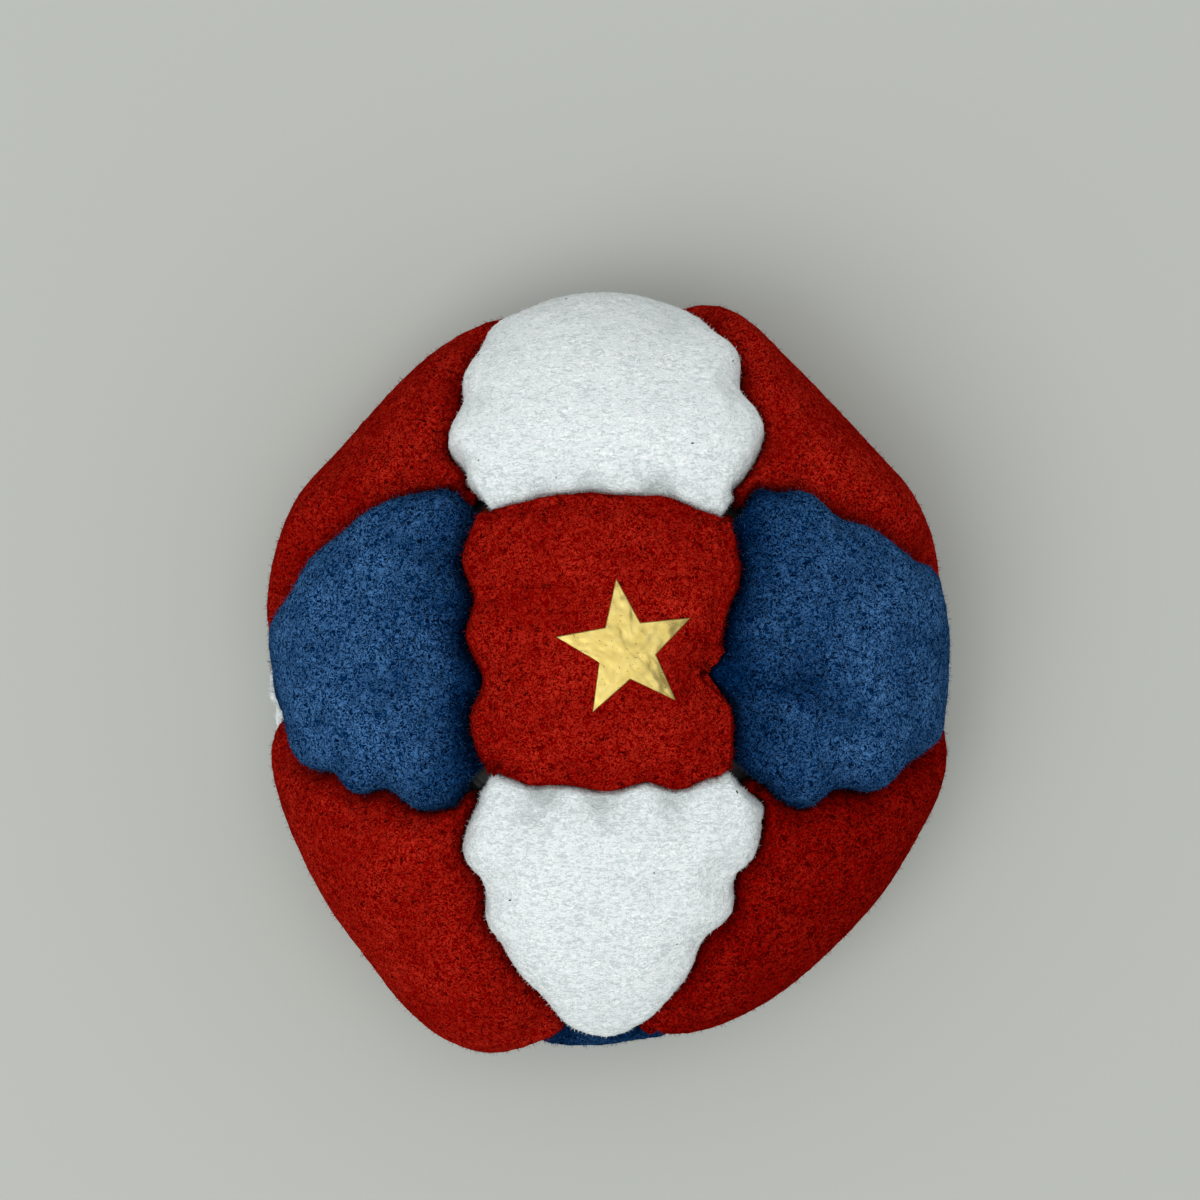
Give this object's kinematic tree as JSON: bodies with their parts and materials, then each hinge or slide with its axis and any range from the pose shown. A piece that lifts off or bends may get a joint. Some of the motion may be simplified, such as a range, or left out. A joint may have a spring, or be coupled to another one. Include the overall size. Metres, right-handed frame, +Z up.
{
  "type": "footbag",
  "caption": "Small pellet-filled ball of sewn suede panels in red, blue and white, lying flattened at rest; it is kept in the air with the feet.",
  "frame": {"origin": "under the middle of the bag, on the surface it lies on", "axes": "+Z up, out of the surface; +Y along the bag's longer side, to its back; +X to its right"},
  "size_m": [0.0604, 0.067, 0.029],
  "materials": {
    "red_suede": "brushed microfibre suede, raised nap",
    "blue_suede": "brushed microfibre suede, raised nap",
    "white_suede": "brushed microfibre suede, raised nap",
    "seam_thread": "bonded sewing thread",
    "plastic_pellets": "small moulded pellets"
  },
  "bodies": {
    "root": {"panel_square_top": "red_suede", "panel_square_bottom": "red_suede", "panel_square_back_left": "red_suede", "panel_square_back_right": "red_suede", "panel_square_front_left": "red_suede", "panel_square_front_right": "red_suede", "panel_triangle_upper_back": "white_suede", "panel_triangle_upper_front": "white_suede", "panel_triangle_upper_left": "blue_suede", "panel_triangle_upper_right": "blue_suede", "panel_triangle_lower_back": "blue_suede", "panel_triangle_lower_front": "blue_suede", "panel_triangle_lower_left": "white_suede", "panel_triangle_lower_right": "white_suede", "seam_thread_back_to_bottom_back_right": "seam_thread", "seam_thread_back_to_top_back_left": "seam_thread", "seam_thread_bottom_back_left_to_back": "seam_thread", "seam_thread_bottom_back_left_to_bottom_front_left": "seam_thread", "seam_thread_bottom_back_right_to_bottom_back_left": "seam_thread", "seam_thread_bottom_back_right_to_right": "seam_thread", "seam_thread_bottom_front_left_to_bottom_front_right": "seam_thread", "seam_thread_bottom_front_left_to_left": "seam_thread", "seam_thread_bottom_front_right_to_bottom_back_right": "seam_thread", "seam_thread_bottom_front_right_to_front": "seam_thread", "seam_thread_front_to_bottom_front_left": "seam_thread", "seam_thread_front_to_top_front_right": "seam_thread", "seam_thread_left_to_bottom_back_left": "seam_thread", "seam_thread_left_to_top_front_left": "seam_thread", "seam_thread_right_to_bottom_front_right": "seam_thread", "seam_thread_right_to_top_back_right": "seam_thread", "seam_thread_top_back_left_to_left": "seam_thread", "seam_thread_top_back_left_to_top_back_right": "seam_thread", "seam_thread_top_back_right_to_back": "seam_thread", "seam_thread_top_back_right_to_top_front_right": "seam_thread", "seam_thread_top_front_left_to_front": "seam_thread", "seam_thread_top_front_left_to_top_back_left": "seam_thread", "seam_thread_top_front_right_to_right": "seam_thread", "seam_thread_top_front_right_to_top_front_left": "seam_thread", "pellet_fill": "plastic_pellets"}
  },
  "joints": []
}
